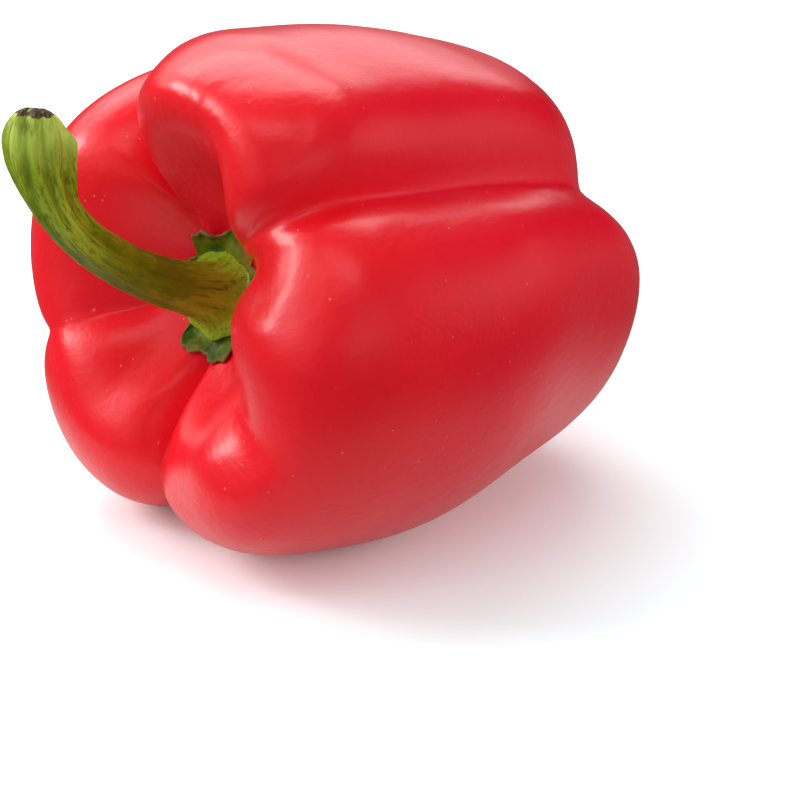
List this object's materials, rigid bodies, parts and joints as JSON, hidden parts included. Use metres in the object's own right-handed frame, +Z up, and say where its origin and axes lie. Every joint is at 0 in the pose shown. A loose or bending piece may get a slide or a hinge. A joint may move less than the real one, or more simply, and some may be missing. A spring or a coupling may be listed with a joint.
{
  "type": "bell pepper",
  "caption": "Red bell pepper lying on its side: lobed glossy fruit with a deep stem cavity, ragged green calyx and a curved ridged stem with a cut end.",
  "frame": {"origin": "on the surface it rests on, under the centre of the bounding box", "axes": "+Z up; the fruit's long axis runs along X with the stem towards -X and the blossom end towards +X"},
  "size_m": [0.1214, 0.098, 0.0878],
  "materials": {
    "skin": "taut waxy skin, deep red, glossy, with fine pores and faint scratches",
    "calyx": "dull dark-green leafy collar with dried brown edges",
    "stem": "light-green ridged stalk, satin, with a dry brown cut end"
  },
  "bodies": {
    "root": {"fruit": "skin", "calyx": "calyx", "stem": "stem"}
  },
  "joints": []
}
